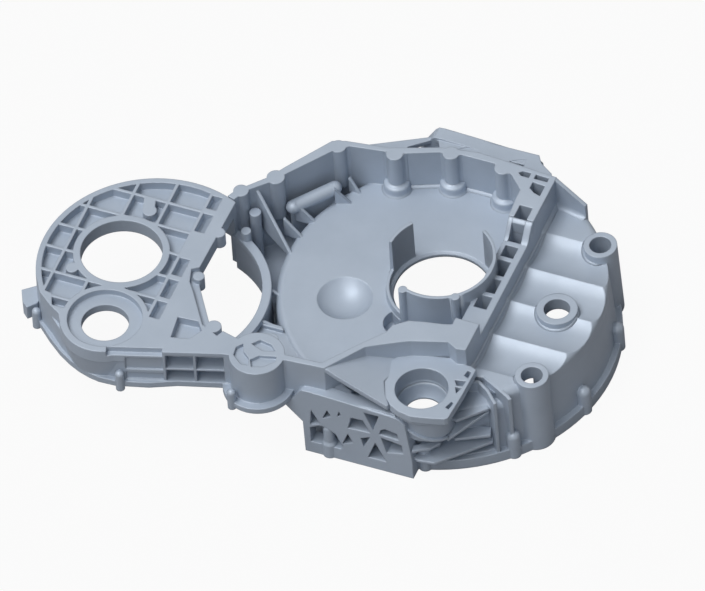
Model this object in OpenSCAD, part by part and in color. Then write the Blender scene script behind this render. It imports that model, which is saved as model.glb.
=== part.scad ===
/* [Bell] */
// Outer radius of the round flange that meets the transmission
flange_r = 271; // [269:1:275]
// Thickness of the round flange
flange_t = 20; // [17:1:22]
// Radius of the pilot recess in the round flange
pilot_r = 255.6; // [254.6:0.1:256.6]
// Radius of the circle of flange bosses
boss_circle_r = 265.1; // [264:0.1:266]
// Height of the flat top of the bell, the floor of the gear chamber
disc_z = 110; // [107:1:111]
// Height of the ridges of the fluted roof
crest_z = 131; // [129:0.5:133]
// Distance between two ridges of the fluted roof
flute_pitch = 72; // [70:1:73]
// Depth of a flute below its ridges
flute_sag = 9; // [6:0.5:10]

/* [Gear chamber] */
// Height of the gasket face of the chamber wall
gasket_z = 188; // [184:1:192]
// Height of the lowered ladder band on the right of the chamber
band_z = 162; // [158:1:166]
// Radius of the crankshaft opening
crank_bore_r = 75.5; // [73:0.5:78]
// Inner radius of the broken ring round the crankshaft opening
ring_r = 81; // [80:0.5:82]
// Thickness of the broken ring
ring_t = 5; // [4:0.5:6]
// Radius of the spherical dimple in the chamber floor
dimple_r = 43.4; // [38:0.2:46]
// Depth of the spherical dimple
dimple_depth = 20; // [14:1:22]

/* [Gear case plate] */
// Thickness of the ribbed plate
plate_t = 25; // [22:1:28]
// Depth of the pockets between the ribs
pocket_depth = 15; // [12:1:17]
// Thickness of a rib between two pockets
rib_t = 5; // [4:0.5:7]
// Radius of the large bore in the plate
bore_a_r = 63.3; // [60:0.1:65]
// Radius of the small bore in the plate
bore_b_r = 36.7; // [34:0.1:40]
// Radius of the counterbore round the small bore
counter_r = 58; // [55:0.5:60]

/* [Starter pad] */
// Height of the starter pad
pad_z = 154; // [151:1:157]
// Radius of the starter bore
starter_r = 41.3; // [39:0.1:43]
// Length of the straight part of the starter bore
starter_len = 27.5; // [24:0.5:30]

/* [Pillars and mount plates] */
// Radius of the two tall pillars on the bell
pillar_r = 26; // [24:0.5:27]
// Radius of the bores of the tall pillars
pillar_bore_r = 16.8; // [15:0.1:18]
// Height of the tall pillars
pillar_z = 139; // [136:1:142]
// Distance of the outer face of each mount plate from the crank axis
mount_y = 285; // [283:1:287]

/* [Hidden] */
$fn = 96;

wall_t = 6.5;
boss_gap = 9.1;
bell_r = boss_circle_r - boss_gap;
bell_foot_r = bell_r + 5;
bell_round = 12;
roof_t = 9;
pilot_depth = 16;
boss_count = 12;
boss_r = 11;
boss_top_z = 42;

side_x = 109;
band_x = 70;
case_z = 112;
ledge_t = 11;
deep_z = 40;
shelf_z = 100;

pillar_x = 205;
pillar_y = 141;
pillar_base_r = pillar_r + 4;
pillar_bore_depth = 51;
port_x = 190;
port_r = 20.3;
port_wall_r = 32;

a_c = [-464.6, -152];
b_c = [-438, -287];
arc_c = [-410, -163];
arc_r = 178;
rim = 9;
nose_r = 69;
nose_foot_r = 57;

starter_c = [61.5, -234];
mouth_r = 23;
pad_t = 14;
web_t = 9;

opening_c = [-396, -150];
opening_r = 148;
ledge_w = 14;
recess_depth = 13;
left_pillar_c = [-191, -278];
left_pillar_r = 43;
floor_pocket_c = [-36, -84];
floor_pocket_depth = 22;
gusset_t = 5;
mount_t = 22;
tube_a = [-272, 66];
tube_r = 11;
tube_z = 130;
tube_dir = 51.3;
tube_len = 73;

dimple_c = [-135, -65];
dimple_sphere_r = (dimple_r * dimple_r + dimple_depth * dimple_depth) / (2 * dimple_depth);

half_pitch = flute_pitch / 2;
flute_r = (half_pitch * half_pitch + flute_sag * flute_sag) / (2 * flute_sag);
flute_first = -111;
flute_count = 4;

// Outer line of the chamber wall on the far side, left to right
far_outer = [
    [-353, 7], [-346, 22], [-308, 64], [-292, 91], [-244, 164],
    [-224, 171], [-155, 180], [-83, 206], [-24, 216], [30, 213], [side_x, 208]
];
// Outer line of the chamber wall on the near side, right to left
near_outer = [
    [side_x, -166], [94, -169], [77, -160], [51, -168], [22, -177], [8, -184],
    [-19, -199], [-39, -211], [-82, -272], [-144, -276], [-191, -290]
];
// Inner line of the chamber wall, near left corner round to the far left corner
chamber_inner = [
    [-341, 4], [-341, -145], [-328, -172], [-286, -237], [-262, -251], [-235, -258],
    [-148, -266], [-90, -263], [-47, -205], [-20, -172], [-16, -156], [4, -139],
    [30, -133], [58, -128], [70, -124], [band_x, 86], [66, 150], [66, 166],
    [42, 190], [8, 203], [-46, 203], [-79, 197], [-129, 177], [-159, 171],
    [-214, 163], [-235, 146], [-283, 82], [-299, 58], [-330, 27]
];

// One circle, placed
module disc_at(c, r) {
    translate(c)
        circle(r);
}

// Outline of the ribbed plate on the left
module plate_outline() {
    intersection() {
        disc_at(arc_c, arc_r);
        polygon([[-600, -238], [-600, 40], [-336, 40], [-341, -238]]);
    }
    disc_at(b_c, nose_r);
    polygon([
        [-572, -237], [-552, -270], [-527, -290], [-509, -301], [-500, -317],
        [-438, -356], [-377, -338], [-239, -296], [-191, -290], [-235, -258],
        [-262, -251], [-286, -237], [-328, -172], [-341, -145], [-341, -100], [-450, -200]
    ]);
}

// Bosses of the gasket face, in the wall all the way down
module wall_bosses() {
    disc_at([-338, 24], 12);
    disc_at([-298, 67], 14);
    disc_at([-231, 157], 12.5);
    disc_at([-143.5, 171], 13);
    disc_at([-62.5, 201], 13);
    disc_at([24, 198.5], 13);
    disc_at([90, -140], 19);
}

// Lowered strip of the plate along the near left side of the opening
module opening_step() {
    difference() {
        polygon([
            [-343, -175], [-333, -188], [-292, -250], [-262, -264], [-256, -250], [-281, -232],
            [-322, -168], [-336, -140], [-350, -150]
        ]);
        left_bosses();
    }
}

// Bosses of the gasket face along the left side of the opening
module left_bosses() {
    disc_at([-338, -67], 10);
    disc_at([-334, -160], 9);
    disc_at([-274, -248], 12);
}

// Everything inside the outer line of the gear chamber
module chamber_outline() {
    polygon(concat(far_outer, near_outer, [
        [-235, -258], [-286, -237], [-341, -145], [-341, 4]
    ]));
}

// Chamber wall seen from above, without the ribbed plate
module chamber_ring() {
    difference() {
        union() {
            chamber_outline();
            wall_bosses();
        }
        difference() {
            polygon(chamber_inner);
            wall_bosses();
        }
    }
    disc_at(left_pillar_c, left_pillar_r - 2);
}

// Outside of the bell: flange, tapered wall and flat top as one turned solid
module bell() {
    rotate_extrude()
        polygon([
            [0, 0], [flange_r, 0], [flange_r, flange_t], [bell_foot_r, flange_t],
            [bell_r, disc_z - bell_round],
            for (a = [15 : 15 : 75])
                [bell_r - bell_round + bell_round * cos(a), disc_z - bell_round + bell_round * sin(a)],
            [bell_r - bell_round, disc_z], [0, disc_z]
        ]);
}

// Hollow of the bell: pilot recess, chamber for the flywheel and the room under the raised roof
module bell_hollow() {
    in_r = bell_r - wall_t;
    rotate_extrude()
        polygon([
            [0, -1], [pilot_r, -1], [pilot_r, pilot_depth], [bell_foot_r - wall_t - 3, pilot_depth],
            [in_r, disc_z - roof_t - bell_round],
            for (a = [15 : 15 : 75])
                [in_r - bell_round + bell_round * cos(a), disc_z - roof_t - bell_round + bell_round * sin(a)],
            [in_r - bell_round, disc_z - roof_t], [0, disc_z - roof_t]
        ]);
    intersection() {
        translate([0, 0, disc_z - roof_t - 10])
            cylinder(r = in_r - bell_round - 2, h = crest_z - flute_sag - roof_t - (disc_z - roof_t - 10));
        translate([side_x + 8, -150, 60])
            cube([200, 300, 100]);
    }
}

// Recess in the bell's wall behind the starter fan
module fan_recess() {
    translate([0, 0, flange_t + 1])
        linear_extrude(height = disc_z - 6 - flange_t - 1)
            difference() {
                polygon([[90, -190], [129, -176], [152, -188], [171, -208], [150, -262], [88, -262]]);
                disc_at([0, 0], bell_r - recess_depth);
            }
}

// Wall that stays behind the recess, inside the bell
module fan_backing() {
    translate([0, 0, pilot_depth + 0.5])
        linear_extrude(height = disc_z - roof_t - pilot_depth + 6)
            difference() {
                polygon([[76, -190], [129, -150], [164, -176], [184, -206], [150, -270], [76, -270]]);
                disc_at([0, 0], bell_r - recess_depth - wall_t + 0.5);
            }
}

// Raised roof right of the chamber, with its flutes
module fluted_roof() {
    difference() {
        intersection() {
            rotate_extrude()
                polygon([
                    [0, disc_z - 26], [bell_r - 0.4, disc_z - 26], [bell_r - 0.8, crest_z - 14],
                    for (a = [15 : 15 : 75])
                        [bell_r - 14.8 + 14 * cos(a), crest_z - 13 + 14 * sin(a)],
                    [bell_r - 16, crest_z + 1], [0, crest_z + 1]
                ]);
            translate([side_x - wall_t, -300, 50])
                cube([200, 600, 120]);
        }
        for (i = [0 : flute_count - 1])
            translate([side_x + 3, flute_first + i * flute_pitch, crest_z - flute_sag + flute_r])
                rotate([0, 90, 0])
                    cylinder(r = flute_r + 0.15, h = 200);
        translate([0, 0, 50])
            linear_extrude(height = 120)
                polygon([[100, -168.3], [123, -164], [133, -161], [183, -187], [200, -197], [200, -400], [100, -400]]);
    }
}

// Bolt bosses of the round flange, with domed tops
module flange_bosses() {
    for (i = [0 : boss_count - 1])
        rotate([0, 0, 15 + i * 360 / boss_count])
            translate([boss_circle_r, 0, 0]) {
                translate([0, 0, 1])
                    cylinder(r = boss_r, h = boss_top_z - 1);
                translate([0, 0, boss_top_z])
                    sphere(boss_r);
            }
}

// Wall of the gear chamber with the ladder band lowered
module chamber_wall() {
    difference() {
        translate([0, 0, disc_z - 5])
            linear_extrude(height = gasket_z - disc_z + 5)
                chamber_ring();
        translate([side_x + 10, 0, 0])
            rotate([90, 0, -90])
                linear_extrude(height = 60)
                    polygon([
                        [-112, gasket_z - 1], [-109, band_z], [110, band_z],
                        [110, gasket_z + 20], [-112, gasket_z + 20]
                    ]);
        band_pockets();
    }
}

// Pockets of the ladder band and of the corner above it
module band_pockets() {
    rungs = [[111, 137], [84, 103], [52, 75], [13, 44], [-24, 5], [-58, -32]];
    for (p = rungs)
        translate([77, p[0], disc_z + 2])
            cube([21, p[1] - p[0], 90]);
    translate([0, 0, disc_z + 20])
        linear_extrude(height = 90) {
            polygon([[78, 174], [78, 187], [99, 185], [99, 164], [88, 167]]);
            polygon([[77, 194], [77, 203], [99, 202], [99, 194]]);
            polygon([[50, 198], [56, 203], [69, 203], [69, 193], [56, 193]]);
        }
}

// Broken ring round the crankshaft opening
module crank_ring() {
    span(-112, 170.7, ring_r, ring_r + ring_t, gasket_z - 2);
    span(142.7, 35, ring_r, ring_r + ring_t, gasket_z - 2);
    span(177, 72, ring_r, ring_r + ring_t, disc_z + 12);
    for (a = [-52.7, -110])
        rotate([0, 0, a])
            translate([ring_r + 5, 0, disc_z - 3])
                cylinder(r = 7, h = gasket_z - 2 - disc_z + 3);
}

// One stretch of a round wall, from a start angle over a sweep
module span(start, sweep, r_in, r_out, top) {
    rotate([0, 0, start])
        rotate_extrude(angle = sweep)
            polygon([[r_in, disc_z - 3], [r_out + 1.5, disc_z - 3], [r_out, top], [r_in, top]]);
}

// Spherical shell under the dimple
module dimple_shell() {
    intersection() {
        translate([dimple_c[0], dimple_c[1], disc_z - dimple_depth + dimple_sphere_r])
            sphere(dimple_sphere_r + 7);
        translate([dimple_c[0] - 60, dimple_c[1] - 60, disc_z - dimple_depth - 10])
            cube([120, 120, dimple_depth + 10 - 1]);
    }
}

// Plan of the round floor pocket, up to a circle round the crankshaft opening
module floor_pocket(r, clear_r) {
    difference() {
        disc_at(floor_pocket_c, r);
        disc_at([0, 0], clear_r);
    }
}

// Cup under the round floor pocket
module pocket_shell() {
    translate([0, 0, disc_z - floor_pocket_depth - 6])
        linear_extrude(height = floor_pocket_depth)
            floor_pocket(32, ring_r + 1);
}

// Ribbed plate, with the pockets left between its ribs
module case_plate() {
    difference() {
        translate([0, 0, gasket_z - plate_t])
            linear_extrude(height = plate_t)
                difference() {
                    union() {
                        plate_outline();
                        left_bosses();
                    }
                    disc_at(a_c, bore_a_r);
                    disc_at(b_c, bore_b_r);
                }
        translate([0, 0, gasket_z - pocket_depth])
            linear_extrude(height = pocket_depth + 1)
                plate_pockets();
        translate([b_c[0], b_c[1], gasket_z - 11])
            cylinder(r = counter_r, h = 12);
        ramp_pockets();
    }
}

// Pocket field of the plate minus the rib grid
module plate_pockets() {
    difference() {
        intersection() {
            disc_at(arc_c, arc_r - rim);
            polygon([
                [-600, -262], [-560, -262], [-534, -266], [-525, -288], [-505, -288],
                [-480, -300], [-420, -240], [-375, -330], [-375, 20], [-600, 20]
            ]);
        }
        disc_at(a_c, bore_a_r + 11);
        disc_at(b_c, counter_r + 9);
        for (i = [0 : 3])
            translate([-489 + (i - 1) * 57 - rib_t, -400])
                square([rib_t, 500]);
        for (i = [0 : 5])
            translate([-600, -38 - i * 47])
                square([300, rib_t]);
        disc_at([-455, -60], 11);
        disc_at([-524, -207], 10);
        polygon([[-474, -33], [-466, -62], [-447, -62], [-455, -33]]);
    }
}

// Shallow pockets right of the last rib, whose floors run up to the face
module ramp_pockets() {
    for (y = [[-27, 0], [-76, -38], [-170, -134], [-218, -180], [-262, -227]])
        translate([0, y[1], 0])
            rotate([90, 0, 0])
                linear_extrude(height = y[1] - y[0])
                    polygon([
                        [-375, gasket_z + 1], [-375, gasket_z - pocket_depth],
                        [-371, gasket_z - pocket_depth], [-357, gasket_z + 1]
                    ]);
    translate([0, 0, gasket_z - pocket_depth])
        linear_extrude(height = pocket_depth + 1)
            polygon([[-333, -248], [-300, -246], [-288, -262], [-300, -284], [-328, -290]]);
}

// Skirt under the plate, with the flat ledge at its foot
module case_skirt() {
    difference() {
        union() {
            translate([0, 0, case_z])
                linear_extrude(height = gasket_z - plate_t - case_z + 1)
                    skirt_outline();
            translate([b_c[0], b_c[1], case_z])
                cylinder(r1 = nose_foot_r, r2 = nose_r - 0.6, h = gasket_z - plate_t - case_z + 1);
            translate([0, 0, case_z])
                linear_extrude(height = ledge_t)
                    ledge_outline();
        }
        translate([0, 0, case_z - 1])
            linear_extrude(height = gasket_z - plate_t - case_z + 4)
                tray_outline();
    }
    on_near_wall()
        translate([46, 3, case_z + 1])
            cube([108, 31, gasket_z - plate_t - case_z]);
}

// Outline of the skirt under the plate
module skirt_outline() {
    intersection() {
        disc_at(arc_c, arc_r);
        polygon([[-600, -238], [-600, 40], [-336, 40], [-341, -238]]);
    }
    polygon([
        [-572, -237], [-552, -270], [-527, -290], [-503, -312], [-482, -327], [-463, -336],
        [-444, -342], [-427, -343], [-400, -341], [-377, -337.4], [-239, -296], [-191, -290],
        [-235, -258], [-262, -251], [-286, -237], [-328, -172], [-341, -145], [-341, -100], [-450, -200]
    ]);
}

// Local frame of the straight near wall of the case: along the wall, then inwards
module on_near_wall() {
    translate([-377, -338, 0])
        rotate([0, 0, atan2(42, 138)])
            children();
}

// Four side pockets and the stepped groove in the near wall of the case
module near_wall_recesses() {
    on_near_wall() {
        for (x = [54, 101], z = [[123, 147], [150.5, 180]])
            translate([x, -12, z[0]])
                cube([43, 37, z[1] - z[0]]);
        translate([-36, -20, 178])
            cube([86, 28, 20]);
        translate([-8, -20, 146])
            cube([58, 24, 27]);
        translate([-8, -20, 124])
            cube([58, 24, 15]);
    }
}

// Ledge round the foot of the skirt
module ledge_outline() {
    intersection() {
        disc_at(arc_c, arc_r + 4);
        polygon([[-600, -238], [-600, 60], [-341, 60], [-341, -238]]);
    }
    polygon([
        [-577, -235], [-554, -275], [-528, -299], [-503, -319], [-482, -332], [-463, -341],
        [-444, -347], [-427, -350], [-400, -349], [-350, -336], [-309, -318], [-232, -296],
        [-240, -240], [-450, -200]
    ]);
}

// Hollow of the skirt, open at the bottom and towards the chamber
module tray_outline() {
    intersection() {
        disc_at(arc_c, arc_r - 9);
        polygon([[-600, -238], [-600, 40], [-351, 40], [-351, -2], [-330, -2], [-330, -238]]);
    }
    disc_at(b_c, nose_foot_r - 8);
    polygon([
        [-562, -236], [-546, -262], [-522, -283], [-500, -303], [-481, -319], [-468, -328],
        [-444, -334], [-427, -335.5], [-400, -333], [-377, -329], [-240, -286], [-240, -258],
        [-262, -240], [-286, -227], [-320, -172], [-330, -145], [-330, -100], [-450, -180]
    ]);
}

// Left part of the chamber floor: ring ledge, shelf and the deep pocket behind the disc
module chamber_floor() {
    translate([0, 0, case_z])
        linear_extrude(height = ledge_t)
            intersection() {
                difference() {
                    disc_at(opening_c, opening_r + ledge_w);
                    disc_at(opening_c, opening_r);
                }
                chamber_outline();
            }
    translate([0, 0, shelf_z])
        linear_extrude(height = 6)
            difference() {
                intersection() {
                    chamber_outline();
                    polygon([[-264, -156], [-190, -156], [-80, -250], [-80, -280], [-260, -280]]);
                }
                disc_at(opening_c, opening_r);
            }
    translate([0, 0, deep_z])
        linear_extrude(height = case_z - deep_z + 1)
            deep_walls();
    translate([0, 0, deep_z])
        linear_extrude(height = 6)
            deep_field();
    translate([0, 0, shelf_z])
        linear_extrude(height = gasket_z - shelf_z - 20)
            intersection() {
                chamber_ring();
                polygon([[-235, -240], [-235, -300], [-60, -300], [-30, -200]]);
            }
}

// Plan of the deep pocket between the disc, the opening and the far wall
module deep_field() {
    difference() {
        intersection() {
            chamber_outline();
            union() {
                polygon([[-360, -44], [-360, 60], [-250, 170], [-150, 190], [-150, 100], [-200, 0], [-256, -60]]);
                polygon([[-270, -60], [-200, -60], [-190, -160], [-262, -160]]);
            }
        }
        disc_at(opening_c, opening_r + ledge_w - 7);
        disc_at([0, 0], bell_r - 1.5);
    }
}

// Walls that reach down round the deep pocket
module deep_walls() {
    intersection() {
        deep_field();
        union() {
            difference() {
                chamber_outline();
                polygon(chamber_inner);
            }
            disc_at(opening_c, opening_r + ledge_w - 0.8);
            polygon([[-280, -153], [-180, -153], [-180, -170], [-280, -170]]);
        }
    }
}

// Bosses, tube and gussets that stand in the deep pocket
module deep_details() {
    translate([-315, 20, deep_z + 1])
        cylinder(r = 9, h = 150 - deep_z);
    translate([-318, -12, case_z + 1])
        cylinder(r = 8, h = 28);
    translate([tube_a[0], tube_a[1], 0])
        rotate([0, 0, tube_dir]) {
            translate([0, 0, tube_z])
                rotate([0, 90, 0])
                    capsule(tube_r, tube_len);
            translate([-4, -3, deep_z + 2])
                cube([tube_len + 8, 6, tube_z - deep_z - 2]);
        }
    gusset([-318, 40], [-246, -8], 180, disc_z - 3);
    gusset([-274, 34], [-240, 29], 138, disc_z - 3);
    gusset([-268, 66], [-234, 66], 142, disc_z - 3);
    gusset([-222, 112], [-196, 120], 142, disc_z - 3);
    gusset([-212, 148], [-190, 140], 134, disc_z - 3);
    gusset([-262, -88], [-234, -89], case_z + ledge_t - 2, disc_z - 3);
    gusset([-245, -156], [-202, -154], case_z + ledge_t - 2, disc_z - 3);
}

// Round bar with domed ends, turned as one solid
module capsule(r, len) {
    rotate_extrude()
        intersection() {
            union() {
                square([r, len]);
                circle(r);
                translate([0, len])
                    circle(r);
            }
            translate([0, -r])
                square([r + 1, len + 2 * r]);
        }
}

// Thin upright rib whose top edge slopes between two points
module gusset(p, q, top_p, top_q) {
    run = norm(q - p);
    translate([p[0], p[1], 0])
        rotate([0, 0, atan2(q[1] - p[1], q[0] - p[0])])
            rotate([90, 0, 0])
                translate([0, 0, -gusset_t / 2])
                    linear_extrude(height = gusset_t)
                        polygon([[0, shelf_z + 2], [run, shelf_z + 2], [run, top_q], [0, top_p]]);
}

// Slanting shelf between two points, reaching inwards
module shelf(p, q, depth, thick) {
    flat = norm([q[0] - p[0], q[1] - p[1]]);
    translate(p)
        rotate([0, 0, atan2(q[1] - p[1], q[0] - p[0])])
            rotate([0, -atan2(q[2] - p[2], flat), 0])
                translate([0, 0, -thick])
                    cube([norm(q - p), depth, thick]);
}

// Starter pad, its boss and the slope up to the corner of the chamber wall
module starter_block() {
    translate([0, 0, disc_z - 2])
        linear_extrude(height = pad_z - disc_z + 2)
            intersection() {
                pad_outline();
                polygon([[-20, -150], [109, -150], [109, -200], [62, -200], [62, -256], [15, -254], [-20, -230]]);
            }
    translate([0, 0, pad_z - pad_t])
        linear_extrude(height = pad_t)
            pad_outline();
    translate([starter_c[0] + 5, starter_c[1], 82])
        cylinder(r = 43, h = pad_z - 83);
    translate([starter_c[0] + 2, starter_c[1], 124])
        cylinder(r = 49, h = 12);
    intersection() {
        translate([0, 0, disc_z - 2])
            linear_extrude(height = gasket_z - disc_z)
                polygon([
                    [-82, -272], [-84, -262], [-47, -205], [-19, -196], [8, -182], [14, -190],
                    [2, -240], [14, -266], [26, -281], [24, -285], [-60, -276]
                ]);
        translate([-82, -272, 0])
            rotate([0, 0, 15.8])
                rotate([90, 0, 0])
                    translate([0, 0, -150])
                        linear_extrude(height = 300)
                            polygon([
                                [-60, gasket_z + 0.353 * 60 - web_t], [140, gasket_z - 0.353 * 140 - web_t],
                                [140, gasket_z - 0.353 * 140], [-60, gasket_z + 0.353 * 60]
                            ]);
    }
}

// Outline of the starter pad
module pad_outline() {
    polygon([
        [-6, -200], [2, -187], [20, -176], [80, -161], [92, -167], [116, -167], [126, -171],
        [125, -226], [122, -277], [118, -281], [111, -283], [96, -287], [66, -293], [44, -289],
        [28, -281], [13, -265], [1, -237]
    ]);
}

// Starter bore, the bowl under it and the way into the bell
module starter_hollow() {
    translate([starter_c[0], starter_c[1], pad_z - starter_len])
        cylinder(r = starter_r, h = starter_len + 1);
    bowl_r = starter_r - 0.8;
    translate([starter_c[0], starter_c[1], pad_z - starter_len + 0.01])
        intersection() {
            sphere(bowl_r);
            translate([0, 0, -60])
                cylinder(r = 60, h = 60);
        }
    translate([starter_c[0], starter_c[1], 84])
        cylinder(r = mouth_r, h = 30);
}

// Small pockets in the face of the starter pad
module pad_pockets() {
    translate([0, 0, pad_z - 12])
        linear_extrude(height = 13) {
            polygon([[113, -188], [115, -177], [121, -178], [121, -191]]);
            polygon([[103, -201], [120, -198], [119, -209], [110, -211]]);
            polygon([[109, -214], [119, -213], [115, -226]]);
            polygon([[110, -258], [115, -244], [119, -246], [116, -260]]);
        }
}

// Fan of slanting shelves between the starter boss and the steps of the bell
module starter_fan() {
    translate([0, 0, flange_t - 1])
        linear_extrude(height = crest_z - flange_t + 1)
            polygon([
                [114, -168], [133, -163.5], [181, -189], [187, -194], [191, -190], [184, -184],
                [134, -158.5], [114, -163]
            ]);
    translate([0, 0, disc_z - 3])
        linear_extrude(height = crest_z - disc_z + 3)
            polygon([[114, -180.5], [129, -175.5], [150, -189], [154, -186], [130, -170.5], [114, -176]]);
    bank([150, -186.5], [171, -208], [[-2.5, flange_t - 1], [2.5, flange_t - 1], [2.5, flange_t + 2], [2.5, crest_z], [-2.5, crest_z]]);
    bank([152, -187], [128, -172.5], [[0, disc_z - 3], [0, crest_z - 1.5], [-19, disc_z + 1], [-19, disc_z - 3]]);
    fin(disc_z - 0.6, [[112, -226], [150, -194], [157, -202], [119, -241], [110, -238]]);
    fin(60, [[108, -212], [138, -200], [156, -196], [161, -212], [112, -237], [104, -226]]);
    fin(40, [[78, -228], [130, -208], [156, -192], [162, -206], [93, -277], [66, -280], [57, -276], [66, -260]]);
    fin(62, [[60, -284], [57, -272], [79, -258], [88, -249], [95, -253], [84, -269]]);
    shelf([107, -255, 75], [155, -200, 100], 21, 5);
}

// Level web between the starter boss and the bell
module fin(top, outline) {
    translate([0, 0, top - 5])
        linear_extrude(height = 5)
            polygon(outline);
}

// Bar along a line in plan; its section is given as distance to the left and height
module bank(p, q, section) {
    translate([p[0], p[1], 0])
        rotate([0, 0, atan2(q[1] - p[1], q[0] - p[0])])
            rotate([90, 0, 90])
                linear_extrude(height = norm(q - p))
                    polygon(section);
}

// Upright mount plate on the near side, with its truss of pockets
module mount_plate() {
    translate([0, -mount_y + mount_t, 0])
        rotate([90, 0, 0])
            linear_extrude(height = mount_t)
                difference() {
                    polygon([
                        [-118, 0], [60, 0], [60, 40], [52, 118], [44, 126], [36, 130], [-60, 136],
                        [-108, 138], [-118, 137], [-124, 131], [-146, 95], [-119, 66]
                    ]);
                    truss_pockets();
                }
    translate([0, 0, 60])
        linear_extrude(height = 70)
            polygon([[-100, -266], [-96, -230], [-90, -230], [-94, -266]]);
    translate([0, 0, 127])
        linear_extrude(height = 7)
            difference() {
                polygon([
                    [-121, -282], [-123, -272], [-120, -264], [-110, -261], [-99, -263], [-90, -268], [-78, -262],
                    [-76, -246], [-71, -244], [-57, -252], [-50, -256], [0, -258], [34, -259], [36, -282]
                ]);
                polygon([[-45, -262], [-38, -270], [-33, -269], [-32, -250], [-46, -250]]);
            }
    translate([-80, -277, 0])
        rotate_extrude()
            polygon([
                [0, 0], [12, 0], [12, 26], [9, 32],
                for (a = [0 : 15 : 75])
                    [9 * cos(a), 58 + 9 * sin(a)],
                [0, 67]
            ]);
}

// Pockets of the mount plates, seen square to the face
module truss_pockets() {
    polygon([[-44, 78], [-7, 80], [-18, 105], [-38, 104]]);
    polygon([[-14, 22], [17, 22], [0, 60]]);
    polygon([[-55, 38], [-37, 46], [-45, 64]]);
    polygon([[-108, 24], [-58, 24], [-54, 32], [-66, 56], [-82, 66], [-92, 66], [-108, 56]]);
    polygon([[-107, 64], [-90, 70], [-104, 98]]);
    polygon([[-86, 85], [-71, 94], [-77, 106]]);
    polygon([[-61, 98], [-54, 102], [-57, 111]]);
    polygon([[-16, 124], [-2, 88], [9, 124]]);
    polygon([[8, 82], [40, 80], [38, 94], [18, 98], [10, 92]]);
    polygon([[18, 44], [46, 51], [44, 70], [10, 76]]);
    polygon([[-20, 44], [-8, 70], [-24, 62]]);
}

// Web between the far chamber wall and the far mount plate
module far_web() {
    translate([0, 0, 127])
        linear_extrude(height = 8)
            difference() {
                polygon([
                    [-118, 275], [-108, 281], [47, 284], [56, 270], [79, 255], [98, 205], [-20, 208],
                    [-76, 200]
                ]);
                polygon([[-77, 254], [-59, 267], [-54, 264], [-57, 256]]);
                polygon([[7, 257], [19, 265], [31, 270], [33, 255]]);
            }
}

// Tall pillars and the low ring on the fluted roof
module pillars() {
    for (side = [-1, 1])
        translate([pillar_x, side * pillar_y, 0])
            cylinder(r1 = pillar_base_r, r2 = pillar_r, h = pillar_z);
    translate([port_x, 0, disc_z - roof_t - 4])
        cylinder(r = port_wall_r, h = crest_z + 5 - (disc_z - roof_t - 4));
}

// Round foot ledge and the recessed top of the left pillar
module left_pillar() {
    translate([left_pillar_c[0], left_pillar_c[1], case_z]) {
        cylinder(r = left_pillar_r, h = gasket_z - case_z);
        translate([8, 38, 0])
            cylinder(r = 12, h = gasket_z - case_z - 4);
        cylinder(r = left_pillar_r + 13, h = ledge_t - 1);
    }
}

// Three pockets round the star of ribs on the left pillar
module left_pillar_pockets() {
    polygon([[-226, -276], [-218, -266], [-212, -280], [-200, -290], [-194, -304], [-206, -306], [-224, -292]]);
    polygon([[-196, -293], [-186, -281], [-160, -274], [-158, -284], [-172, -300], [-189, -306]]);
    polygon([[-206, -262], [-196, -250], [-176, -254], [-166, -264], [-184, -270]]);
}

// Low bosses with domed tops on the foot ledge of the case
module case_bosses() {
    for (c = [[-393, -346], [-561, -269], [-217, -325]])
        translate([c[0], c[1], case_z - 6]) {
            cylinder(r = 7, h = 32);
            translate([0, 0, 32])
                sphere(7);
        }
    translate([0, 0, case_z])
        linear_extrude(height = 26)
            polygon([[-599, -235], [-588, -257], [-578, -266], [-566, -252], [-566, -215], [-582, -221]]);
}

// Collars at the foot of the three bosses in the far wall
module boss_collars() {
    for (c = [[-62.5, 201], [24, 198.5], [-143.5, 171]])
        translate([c[0], c[1], disc_z - 2])
            cylinder(r1 = 19, r2 = 15, h = 11);
}

// Every hole and recess cut after the solids are joined
module through_holes() {
    translate([0, 0, disc_z - 20])
        cylinder(r = crank_bore_r, h = 40);
    translate([0, 0, disc_z - 4])
        cylinder(r1 = crank_bore_r - 0.01, r2 = crank_bore_r + 5, h = 5);
    for (side = [-1, 1])
        translate([pillar_x, side * pillar_y, pillar_z - pillar_bore_depth])
            cylinder(r = pillar_bore_r, h = pillar_bore_depth + 1);
    translate([port_x, 0, disc_z - roof_t - 10])
        cylinder(r = port_r, h = crest_z);
    starter_hollow();
    pad_pockets();
    translate([dimple_c[0], dimple_c[1], disc_z - dimple_depth + dimple_sphere_r])
        sphere(dimple_sphere_r);
    translate([0, 0, disc_z - floor_pocket_depth])
        linear_extrude(height = floor_pocket_depth + 1)
            floor_pocket(26.6, ring_r + ring_t + 2.5);
    translate([0, 0, gasket_z - 6])
        linear_extrude(height = 7)
            left_pillar_pockets();
    near_wall_recesses();
    translate([0, 0, gasket_z - 9])
        linear_extrude(height = 10)
            opening_step();
}

// Everything outside, before the bell is hollowed
module outer_body() {
    difference() {
        bell();
        fan_recess();
    }
    fluted_roof();
    flange_bosses();
    chamber_wall();
    chamber_floor();
    deep_details();
    crank_ring();
    boss_collars();
    case_plate();
    case_skirt();
    left_pillar();
    case_bosses();
    starter_block();
    starter_fan();
    mount_plate();
    mirror([0, 1, 0])
        mount_plate();
    far_web();
    pillars();
}

module flywheel_housing() {
    color("lightsteelblue")
        difference() {
            union() {
                difference() {
                    outer_body();
                    difference() {
                        bell_hollow();
                        fan_backing();
                    }
                }
                dimple_shell();
                pocket_shell();
            }
            through_holes();
        }
}

flywheel_housing();
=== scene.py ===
"""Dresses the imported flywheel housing: cast aluminium finish, foundry fillets, stage and camera."""
import math

import bpy
import numpy as np
from mathutils import Matrix, Vector


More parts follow.
